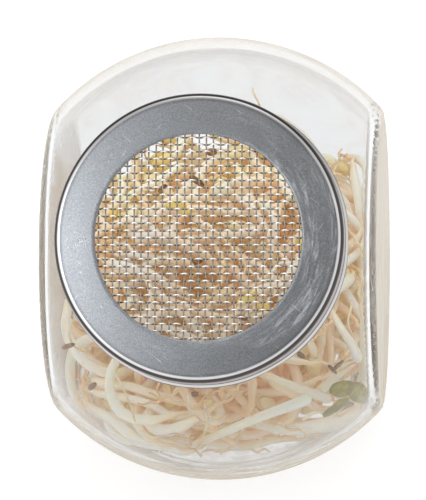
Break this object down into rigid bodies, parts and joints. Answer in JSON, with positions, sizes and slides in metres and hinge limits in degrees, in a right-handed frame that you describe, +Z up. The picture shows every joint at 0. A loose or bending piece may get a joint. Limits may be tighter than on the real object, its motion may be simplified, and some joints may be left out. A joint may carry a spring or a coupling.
{
  "type": "jar of bean sprouts",
  "caption": "Slant-necked glass sprouting jar with a twist-on steel cap, a wire-cloth window and a heap of mung bean sprouts inside.",
  "frame": {"origin": "centre of the jar's flat base, on the surface it stands on", "axes": "+Z up, -Y towards the side the slanted mouth faces, X across the two flat sides"},
  "size_m": [0.1008, 0.1488, 0.1368],
  "materials": {
    "glass": "clear pressed glass, smooth",
    "steel": "dull tinned steel with fine scratches and dried water marks",
    "wire": "bright woven stainless wire",
    "rubber": "matt off-white sealing compound",
    "sprout": "moist cream stem, yellow seed leaves, thin light brown root"
  },
  "bodies": {
    "jar": {"jar_glass": "glass", "sprout_01": "sprout", "sprout_02": "sprout", "sprout_03": "sprout", "sprout_04": "sprout", "sprout_05": "sprout", "sprout_06": "sprout", "sprout_07": "sprout", "sprout_08": "sprout", "sprout_09": "sprout", "sprout_10": "sprout", "sprout_11": "sprout", "sprout_12": "sprout", "sprout_13": "sprout", "sprout_14": "sprout", "sprout_15": "sprout", "sprout_16": "sprout", "sprout_17": "sprout", "sprout_18": "sprout", "sprout_19": "sprout", "sprout_20": "sprout", "sprout_21": "sprout", "sprout_22": "sprout", "sprout_23": "sprout", "sprout_24": "sprout", "sprout_25": "sprout", "sprout_26": "sprout", "sprout_27": "sprout", "sprout_28": "sprout", "sprout_29": "sprout", "sprout_30": "sprout", "sprout_31": "sprout", "sprout_32": "sprout", "sprout_33": "sprout", "sprout_34": "sprout", "sprout_35": "sprout", "sprout_36": "sprout", "sprout_37": "sprout", "sprout_38": "sprout", "sprout_39": "sprout", "sprout_40": "sprout", "sprout_41": "sprout", "sprout_42": "sprout", "sprout_43": "sprout", "sprout_44": "sprout", "sprout_45": "sprout", "sprout_46": "sprout", "sprout_47": "sprout", "sprout_48": "sprout", "sprout_49": "sprout", "sprout_50": "sprout"},
    "lid": {"lid_cap": "steel", "lid_gasket": "rubber", "screen_warp": "wire", "screen_weft": "wire"}
  },
  "joints": [
    {"name": "lid_twist", "type": "hinge", "parent": "jar", "child": "lid", "pos_m": [0, 0, 0.056], "axis": [0, -0.7071, 0.7071], "range_deg": [0, 30]}
  ]
}
